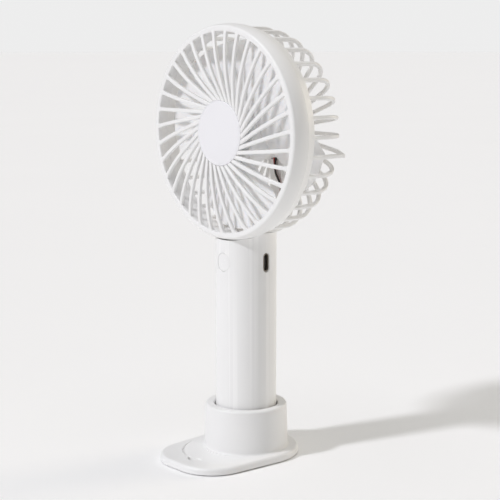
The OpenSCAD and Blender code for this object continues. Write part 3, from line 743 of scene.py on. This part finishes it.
def smooth_route(route, steps):
    """Points on a smooth curve through the route's points, steps to each stretch."""
    ends = [route[0]] + list(route) + [route[-1]]
    points = []
    for i in range(len(route) - 1):
        a, b, c, d = (Vector(p) for p in ends[i : i + 4])
        for k in range(steps):
            t = k / steps
            points.append(0.5 * (2 * b + (c - a) * t + (2 * a - 5 * b + 4 * c - d) * t**2
                                 + (3 * b - a - 3 * c + d) * t**3))
    return points + [Vector(route[-1])]


def tube(route, radius, steps=8, sides=14):
    """A round lead along a smooth route."""
    line = smooth_route(route, steps)
    rings = []
    for k, p in enumerate(line):
        along = (line[min(k + 1, len(line) - 1)] - line[max(k - 1, 0)]).normalized()
        side = along.cross(Vector((1, 0, 0))).normalized()
        up = side.cross(along)
        turns = [2 * math.pi * j / sides for j in range(sides)]
        rings.append([tuple(p + radius * (math.cos(t) * side + math.sin(t) * up)) for t in turns])
    return loft(rings)


LEAD_R = 0.55
LEADS = {
    "motor_lead_black": ("wire_black", [
        (5.6, 20.4, 164), (4.8, 20.4, 158), (1.6, 20.4, 153.6), (1.4, 18.9, 149.6),
        (2, 18.6, 143.6), (5.2, 18.6, 138.6), (6, 18.5, 134), (5.6, 18.2, 129), (4, 15.4, 122),
        (1.8, 10.2, 117), (1.1, 8.6, 113), (1, 8.2, 109), (1, 5.2, 104.4), (1, 3.6, 103.6),
    ]),
    "motor_lead_red": ("wire_red", [
        (-5.6, 20.4, 164), (-4.6, 20.4, 158), (-1.6, 20.4, 153.6), (0, 19.5, 149.6),
        (1, 19.5, 143.6), (4.2, 19.5, 138.6), (4.9, 19.3, 134), (4, 18.2, 129), (2.4, 15.4, 122),
        (0.2, 10.2, 117), (-1, 8.6, 113), (-1, 8.2, 109), (-1.2, 5.2, 104.4), (-1.4, 3.6, 103.6),
    ]),
    "battery_lead_black": ("wire_black", [
        (2, 3, 12), (2, 7, 12), (2.4, 10.6, 15), (2.4, 11, 30), (2.4, 11, 50),
        (2.4, 11, 72), (3.8, 10.4, 79), (4.4, 7.4, 84), (4.4, 4.6, 87), (4.4, 3.6, 87.4),
    ]),
    "battery_lead_red": ("wire_red", [
        (-2.6, 4, 78.8), (-3.8, 7, 79.6), (-4.6, 8.4, 82), (-4.4, 7, 85),
        (-4.4, 4.6, 87), (-4.4, 3.6, 87.4),
    ]),
}


def leads():
    """The motor's and the battery's leads, along the routes above."""
    for node, (slot, route) in LEADS.items():
        piece = smooth(build(f"{node}_sheath", tube(route, LEAD_R)))
        place_piece(piece, "fan", slot, FINISHES[slot], node)


# ---- Grip ----

WALL = 1.6
BORE_R = GRIP_R - WALL
SLACK = 0.15
TOP_GAP = 0.05
ROOF = 2.2
BATTERY_R = 9.1
CRADLES = (20, 44, 68)
CRADLE_T = 1.2
OVERLAP = 0.3
LOW_SCREW_Z = 80.9
POST_R = 2.6
CLEAR_R = 1.1
BOARD_SCREW = (8, 87.5)
BUTTON_R = 4.5
SLOT_LOW = 104
BLANK_TOP = 119
BEYOND = 20


def head_space(extra):
    """The space that the head takes above the grip, grown outwards by extra, about the head's axis."""
    wide, deep = GUARD_R - BEND_R + extra, BEND_Y - GUARD_BACK + extra
    ahead = 22
    profile = [(RING_R + extra, ahead), (RING_R + extra, SEAM_Y - SLACK)]
    profile += [(GUARD_R + extra, RIM_BACK - SLACK)]
    profile += arc((BEND_R, BEND_Y), wide, deep, 0, -44, 12)
    points, faces = lathe(profile, 240)
    return [tuple(HEAD @ Vector(p)) for p in points], faces


def stadium(tall, wide, x):
    """Outline of the charging socket at distance x from the grip's axis, its long side along Z."""
    half, radius = (tall - wide) / 2, wide / 2
    outline = arc((0, half), radius, radius, 0, 180, 12) + arc((0, -half), radius, radius, 180, 360, 12)
    return [(x, a, CONTROL_Z + b) for a, b in outline]


def half_ring(side):
    """Outline of half a battery cradle: the rear half if side is 1 and the front half if it is -1."""
    start = 0 if side > 0 else 180
    outer_r, inner_r = BORE_R + OVERLAP, BATTERY_R + 0.2
    outer = arc((0, 0), outer_r, outer_r, start, start + 180, 48)
    inner = arc((0, 0), inner_r, inner_r, start + 180, start, 48)
    return outer + inner


def cradles(side):
    """The cradles that hold the battery in one half of the grip."""
    outline = half_ring(side)
    return [loft([[(x, y, z + h) for x, y in outline] for h in (0, CRADLE_T)]) for z in CRADLES]


def socket_cut():
    """Opening for the socket with a small chamfer at its mouth."""
    tall, wide, chamfer = 9.5, 3.9, 0.8
    rings = [stadium(tall, wide, 8), stadium(tall, wide, GRIP_R - 0.45)]
    rings += [stadium(tall + chamfer, wide + chamfer, x) for x in (GRIP_R + 0.05, GRIP_R + 1.5)]
    return loft(rings)


def mouth(radius, flare, low, high, end):
    """A round cutter up to end, with a chamfer up to high, where it leaves the grip's wall."""
    return lathe([(radius, low), (radius, high - flare), (radius + flare, high), (radius + flare, end)], 64)


def shell(name, side):
    """One half of the grip: its wall and roof, before its own holes and posts."""
    piece = build(name, lathe([(GRIP_R, GRIP_LOW), (GRIP_R, BLANK_TOP)], 240))
    core = build("core", lathe([(BORE_R, GRIP_LOW - 1), (BORE_R, BLANK_TOP + 0.5)], 240))
    combine(core, "DIFFERENCE", [head_space(SLACK + ROOF)])
    points = [tuple(v.co / MM) for v in core.data.vertices]
    faces = [tuple(f.vertices) for f in core.data.polygons]
    bpy.data.objects.remove(core)
    far = -BEYOND if side > 0 else 0
    other_half = block((-BEYOND, far, 0), (BEYOND, far + BEYOND, BLANK_TOP + 21), 0.01)
    stem_half, lead_half, lead_y = STEM_HALF_X + SLACK, 2.4, (5, 11)
    stem_low = (-stem_half, -STEM_Y[1] - SLACK, SLOT_LOW)
    stem_slot = block(stem_low, (stem_half, SLACK - STEM_Y[0], BLANK_TOP - 1), 0.3)
    lead_slot = block((-lead_half, lead_y[0], SLOT_LOW), (lead_half, lead_y[1], BLANK_TOP + 1), 0.3)
    cuts = [(points, faces), head_space(TOP_GAP), other_half, socket_cut(), stem_slot, lead_slot]
    combine(piece, "DIFFERENCE", cuts)
    return piece


def handle_front():
    """Front half of the grip, with its cradles, the lower screw's post and the button's hole."""
    piece = shell("grip_front_half", -1)
    post = along_y(disc(POST_R, -BORE_R - OVERLAP, -0.1, steps=48), 0, LOW_SCREW_Z)
    combine(piece, "UNION", cradles(-1) + [post])
    pilot = along_y(disc(0.98, -8, 1, steps=32), 0, LOW_SCREW_Z)
    hole_r, flared_r = BUTTON_R + 0.2, BUTTON_R + 0.3
    points, faces = lathe([(hole_r, 10), (hole_r, 15.2), (flared_r, 15.6), (flared_r, BEYOND)], 96)
    # Laid down along -Y, so that the chamfer is at the outer end
    front_hole = [(p[0], -p[2], CONTROL_Z + p[1]) for p in points], faces
    combine(piece, "DIFFERENCE", [pilot, front_hole])
    smooth(soften(piece, 0.14))
    place_piece(piece, "fan", "shell_plastic", SHELL, "handle_front")


def handle_rear():
    """Rear half of the grip, with its cradles, the posts, and recesses for three screw heads."""
    head_r, flare, board_x, board_z = 2.05, 0.3, *BOARD_SCREW
    piece = shell("grip_rear_half", 1)
    lead_notch = block((-4.4, BATTERY_R - 1, 10), (4.4, BORE_R - 0.1, 75), 0.1)
    combine(piece, "UNION", cradles(1))
    combine(piece, "DIFFERENCE", [lead_notch])
    posts = [along_y(disc(POST_R, 0, BORE_R + OVERLAP, steps=48), 0, LOW_SCREW_Z)]
    holes = [along_y(disc(CLEAR_R, -1, BEYOND, steps=32), 0, LOW_SCREW_Z)]
    holes += [along_y(mouth(head_r, flare, 12.6, 15.6, BEYOND), 0, LOW_SCREW_Z)]
    for side in (-1, 1):
        neck_x = side * NECK_SCREW_X
        posts += [along_y(disc(POST_R, SLACK - STEM_Y[0], 12.2, steps=48), neck_x, NECK_SCREW_Z)]
        posts += [along_y(disc(2.2, 2.9, 11.4, steps=48), side * board_x, board_z)]
        holes += [along_y(disc(0.75, 0, 8, steps=32), side * board_x, board_z)]
        holes += [along_y(disc(CLEAR_R, 5, BEYOND, steps=32), neck_x, NECK_SCREW_Z)]
        holes += [along_y(mouth(head_r, flare, 11.6, 14.7, BEYOND), neck_x, NECK_SCREW_Z)]
    combine(piece, "UNION", posts)
    combine(piece, "DIFFERENCE", holes)
    smooth(soften(piece, 0.14))
    place_piece(piece, "fan", "shell_plastic", SHELL, "handle_rear")


def handle_cap():
    """Round plug at the grip's lower end, with a shallow dish in its foot."""
    low, edge, inner = CAP_LOW, 0.8, BORE_R - 0.05
    profile = [(9.5, low + 0.4), (10.3, low)]
    profile += arc((GRIP_R - edge, low + edge), edge, edge, -90, 0, 6)
    profile += [(GRIP_R, GRIP_LOW - 0.12), (GRIP_R - 0.12, GRIP_LOW)]
    profile += [(inner, GRIP_LOW), (inner, GRIP_LOW + 3.7), (inner - 0.3, GRIP_LOW + 4)]
    profile += [(inner - 1.45, GRIP_LOW + 4), (inner - 1.45, GRIP_LOW)]
    piece = smooth(build("grip_end_plug", lathe(profile)))
    place_piece(piece, "fan", "shell_plastic", SHELL, "handle_cap")


def power_button():
    """Button whose face follows the grip's curve, with a flange behind the wall and a stem."""
    steps, edge, face = 96, 0.2, GRIP_R - 0.1
    rim, flange_r, stem_r = BUTTON_R + 0.1, BUTTON_R + 0.9, 1.6
    flange_front, flange_back, stem_end = -12.4, -11.6, -3.5

    def ring(radius, sink=None, flat=None):
        """A ring that lies in the grip's curve, sunk by sink, or in the plane y = flat."""
        made = []
        for i in range(steps):
            x = radius * math.cos(2 * math.pi * i / steps)
            z = radius * math.sin(2 * math.pi * i / steps)
            y = flat if flat is not None else -math.sqrt(face**2 - x**2) + sink
            made.append((x, y, CONTROL_Z + z))
        return made

    # The face is dished a little inside dish_r, by rings that lie gap apart
    dish, dish_r, gap = 0.12, 4, 0.5
    rings = [ring(k * gap, sink=dish * (1 - (k * gap / dish_r) ** 2)) for k in range(1, 8)]
    rings += [ring(r, sink=edge - h) for r, h in arc((rim - edge, 0), edge, edge, 90, 0, 5)]
    steps_down = [(rim, flange_front), (flange_r, flange_front), (flange_r, flange_back)]
    steps_down += [(stem_r, flange_back), (stem_r, stem_end)]
    rings += [ring(r, flat=y) for r, y in steps_down]
    piece = smooth(build("button_face", loft(rings)))
    place_piece(piece, "button", "shell_plastic", SHELL, "power_button")


def usb_socket():
    """Drawn metal shell, and inside it a tongue with a row of contacts on each side."""
    front, back, tall, wide = socket_high.x, socket_low.x, 8.94, 3.2
    # Each pair is how much smaller than the outside the outline is, and how far along X it lies
    skin = [(0, back), (0, front - 0.1), (0.16, front), (0.46, front), (0.6, front - 0.1), (0.6, back + 1)]
    rings = [stadium(tall - less, wide - less, x) for less, x in skin]
    outer = smooth(build("socket_shell", loft(rings)))
    place_piece(outer, "fan", "steel", SOCKET_METAL, "usb_shell")
    low, high = node_box("usb_tongue")
    tongue = smooth(build("socket_tongue", block(tuple(low), tuple(high), 0.15)))
    place_piece(tongue, "fan", "dark_plastic", FINISHES["dark_plastic"], "usb_tongue")
    pitch, count, half_w, proud = 0.5, 12, 0.13, 0.03
    strips = []
    for side in (-1, 1):
        for k in range(count):
            z = CONTROL_Z + (k - (count - 1) / 2) * pitch
            y = side * high.y
            strips.append(block((11, y - proud, z - half_w), (13.9, y + proud, z + half_w), 0.02))
    contacts = smooth(build("socket_contacts", group(strips)))
    place_piece(contacts, "fan", "brass", CONTACT_GOLD)


# ---- Dock ----

PLATE_TOP = 4
PLATE_CORNERS = ((0, 0, 27), (-5, -27, 20), (5, -27, 20))
PLATE_LOW = dock_low.z
COLLAR_R = 20.96
COLLAR_FOOT_R = 21.6
CUP_R = 16.4
CUP_FLOOR = 5
PAD_INSET = 4.5
TRAY_R = 21.5
TRAY_Y = -15
TRAY_DEPTH = 1.7


def plate_outline(grow, height, steps=240):
    """Outline round the plate's three round corners, moved outwards by grow."""
    points = []
    for i in range(steps):
        t = 2 * math.pi * (i + 0.5) / steps
        x, y, r = max(PLATE_CORNERS, key=lambda c: c[0] * math.cos(t) + c[1] * math.sin(t) + c[2])
        points.append((x + (r + grow) * math.cos(t), y + (r + grow) * math.sin(t), height))
    return points


def foot_plate():
    """Solid plate with a rounded upper edge and a small step at its foot."""
    edge = 1.7
    rings = [plate_outline(-0.5, PLATE_LOW), plate_outline(-0.15, PLATE_LOW + 0.1)]
    rings += [plate_outline(0, PLATE_LOW + 0.4)]
    rings += [plate_outline(r, h) for r, h in arc((-edge, PLATE_TOP - edge), edge, edge, 0, 90, 8)]
    return loft(rings)


def collar():
    """The cup that the grip stands in, with a fillet at its foot and rolled rims."""
    foot, outer, inner = 1.2, 1.1, 0.9
    profile = [(COLLAR_FOOT_R + foot, 2)]
    profile += arc((COLLAR_FOOT_R + foot, PLATE_TOP + foot), foot, foot, 270, 180, 6)
    profile += arc((COLLAR_R - outer, COLLAR_TOP - outer), outer, outer, 2, 90, 8)
    profile += arc((CUP_R + inner, COLLAR_TOP - inner), inner, inner, 90, 180, 6)
    profile += [(CUP_R, CUP_FLOOR + 0.5), (CUP_R - 0.5, CUP_FLOOR)]
    return lathe(profile, 240)


def tray_cut():
    """The shallow tray in front of the collar: a sloping floor that rises into the plate."""
    depth, slope, edge, wall = TRAY_DEPTH, 5.2, 0.6, 0.35
    front = TRAY_Y - TRAY_R
    rise = math.tan(math.radians(slope))
    steps = 160
    rings = []
    levels = [(-edge, 0.0), (-edge * 0.4, 0.1), (-0.05, edge), (0.0, depth - wall)]
    levels += [(wall * 0.3, depth - wall * 0.3), (wall, depth), (wall, 8)]
    for grow, height in levels:
        ring = []
        for i in range(steps):
            t = 2 * math.pi * i / steps
            x = (TRAY_R + grow) * math.cos(t)
            y = TRAY_Y + (TRAY_R + grow) * math.sin(t)
            bottom = PLATE_TOP - depth + (y - front) * rise
            top = max(bottom + 0.01, PLATE_TOP) if height >= depth else PLATE_TOP
            share = min(1.0, height / depth)
            ring.append((x, y, bottom + (top - bottom) * share + max(0.0, height - depth)))
        rings.append(ring)
    return loft(rings)


def notch_cut():
    """Small round thumb notch at the tray's front edge, with a rounded bottom and a chamfered mouth."""
    bottom, radius, x, y = PLATE_TOP - TRAY_DEPTH, 3.6, 1.5, -35.6
    profile = [(radius - 0.6, bottom), (radius - 0.2, bottom + 0.15), (radius, bottom + 0.5)]
    profile += [(radius, PLATE_TOP - 0.3), (radius + 0.3, PLATE_TOP + 0.05), (radius + 0.3, PLATE_TOP + 5)]
    return moved(lathe(profile, 64), x, y)


def dock_body():
    """Foot plate with the tray, the thumb notch, the cup for the grip and the recess for the pad."""
    piece = build("dock_shell", foot_plate())
    combine(piece, "DIFFERENCE", [tray_cut()])
    combine(piece, "DIFFERENCE", [notch_cut()])
    combine(piece, "UNION", [collar()])
    recess = loft([plate_outline(0.1 - PAD_INSET, z) for z in (PLATE_LOW - 1, PAD_TOP)])
    combine(piece, "DIFFERENCE", [recess])
    smooth(piece)
    place_piece(piece, "dock", "shell_plastic", SHELL, "dock_body")


def dock_pad():
    """Anti-slip pad with a soft lower edge."""
    edge = 0.3
    rings = [plate_outline(r - PAD_INSET, h) for r, h in arc((-edge, edge), edge, edge, -90, 0, 3)]
    rings += [plate_outline(-PAD_INSET, PAD_TOP)]
    piece = smooth(build("foot_pad", loft(rings)))
    place_piece(piece, "dock", "pad_rubber", FINISHES["pad_rubber"], "dock_pad")


# ---- CAD nodes that stay as they are, with softened edges and real finishes ----

WELD_GAP = 0.000001
SOFT_EDGES = {
    "motor_can": 0.25, "motor_end_cap": 0.1, "motor_magnets": 0.15, "motor_bushes": 0.1,
    "motor_shaft": 0.1, "armature_core": 0.08, "armature_windings": 0.15, "commutator": 0.06,
    "motor_brushes": 0.05, "motor_screws": 0.06, "handle_screws": 0.08, "board_screws": 0.06,
    "switch_plunger": 0.12, "push_switch": 0.15, "main_board": 0.08, "charge_chip": 0.08,
    "boost_inductor": 0.25, "filter_capacitor": 0.2, "battery_cell": 0.15, "battery_tabs": 0.05,
}


def dress_cad_nodes():
    """Gives each remaining CAD node its finish, welded seams and softened edges."""
    slots = {part["node"]: part["material_slot"] for part in frame["record"]["subparts"]}
    for node, width in SOFT_EDGES.items():
        piece = frame["nodes"][node]
        material = FINISHES[slots[node]]
        for slot in piece.material_slots:
            slot.link = "OBJECT"
            slot.material = material
        weld = piece.modifiers.new("weld", "WELD")
        weld.merge_threshold = WELD_GAP
        soften(piece, width, 45)
        normals = piece.modifiers.new("normals", "WEIGHTED_NORMAL")
        normals.keep_sharp = True


# ---- Stage ----

CAMERA_AZIMUTH = 48.19
CAMERA_ELEVATION = 9.13
CAMERA_DISTANCE = 0.6417
CAMERA_TARGET = Vector((0.00134, 0.0015, 0.10552))
CAMERA_LENS = 91.0


def direction(azimuth, elevation):
    """Unit vector from the object towards an azimuth, where 0 is in front of the fan, and an elevation."""
    a, e = math.radians(azimuth), math.radians(elevation)
    return Vector((math.sin(a) * math.cos(e), -math.cos(a) * math.cos(e), math.sin(e)))


def camera():
    """The camera, looking at its target from the photo's direction."""
    data = bpy.data.cameras.new("camera")
    data.lens = CAMERA_LENS
    data.clip_start = 0.01
    data.clip_end = 100
    made = bpy.data.objects.new("camera", data)
    bpy.context.scene.collection.objects.link(made)
    back = direction(CAMERA_AZIMUTH, CAMERA_ELEVATION)
    made.location = CAMERA_TARGET + back * CAMERA_DISTANCE
    made.rotation_mode = "QUATERNION"
    made.rotation_quaternion = (-back).to_track_quat("-Z", "Y")
    bpy.context.scene.camera = made


def sun_light(name, azimuth, elevation, softness, strength, colour):
    """A far, soft studio light; softness is the angle it fills, in degrees."""
    data = bpy.data.lights.new(name, "SUN")
    data.angle = math.radians(softness)
    data.energy = strength
    data.color = colour
    made = bpy.data.objects.new(name, data)
    bpy.context.scene.collection.objects.link(made)
    made.rotation_mode = "QUATERNION"
    made.rotation_quaternion = (-direction(azimuth, elevation)).to_track_quat("-Z", "Y")


# Each light's azimuth, elevation, softness, strength and colour
LIGHTS = {
    "key": (-15, 38, 6, 1.57, (0.95, 0.95, 1.0)),
    "top": (0, 86, 70, 1.05, (1.0, 1.0, 1.0)),
    "rim": (165, 15, 24, 0.85, (1.0, 0.89, 0.72)),
}
FILL_COLOUR = (1.0, 0.985, 0.95)
FILL_STRENGTH = 0.19
BACKDROP_STRENGTH = 0.85


def lights():
    """Three soft lights, a faint fill from all round, and a bright backdrop that only the camera sees."""
    for name, values in LIGHTS.items():
        sun_light(name, *values)
    world = bpy.data.worlds.new("studio")
    world.use_nodes = True
    tree = world.node_tree
    fill = tree.nodes["Background"]
    fill.inputs["Color"].default_value = (*FILL_COLOUR, 1)
    fill.inputs["Strength"].default_value = FILL_STRENGTH
    backdrop = tree.nodes.new("ShaderNodeBackground")
    backdrop.inputs["Color"].default_value = (1, 1, 1, 1)
    backdrop.inputs["Strength"].default_value = BACKDROP_STRENGTH
    path = tree.nodes.new("ShaderNodeLightPath")
    mix = tree.nodes.new("ShaderNodeMixShader")
    tree.links.new(path.outputs["Is Camera Ray"], mix.inputs["Fac"])
    tree.links.new(fill.outputs["Background"], mix.inputs[1])
    tree.links.new(backdrop.outputs["Background"], mix.inputs[2])
    tree.links.new(mix.outputs["Shader"], tree.nodes["World Output"].inputs["Surface"])
    bpy.context.scene.world = world


def floor():
    """A wide pale studio floor."""
    half = 40.0
    mesh = bpy.data.meshes.new("studio_floor")
    corners = [(-half, -half, 0), (half, -half, 0), (half, half, 0), (-half, half, 0)]
    mesh.from_pydata(corners, [], [(0, 1, 2, 3)])
    made = bpy.data.objects.new("studio_floor", mesh)
    bpy.context.scene.collection.objects.link(made)
    n = Nodes("studio_paper")
    n.link(n.mix(n.noise(3, 2), (0.98, 0.98, 0.98), (0.995, 0.995, 0.995)), n.shader.inputs["Base Color"])
    n.set(Roughness=0.9, Specular_IOR_Level=0.1)
    mesh.materials.append(n.material)


camera()
lights()
floor()
front_grille()
badge_cap()
rear_guard()
rear_cover()
impeller()
leads()
handle_front()
handle_rear()
handle_cap()
power_button()
usb_socket()
dock_body()
dock_pad()
dress_cad_nodes()

bpy.context.scene.view_settings.view_transform = "Standard"
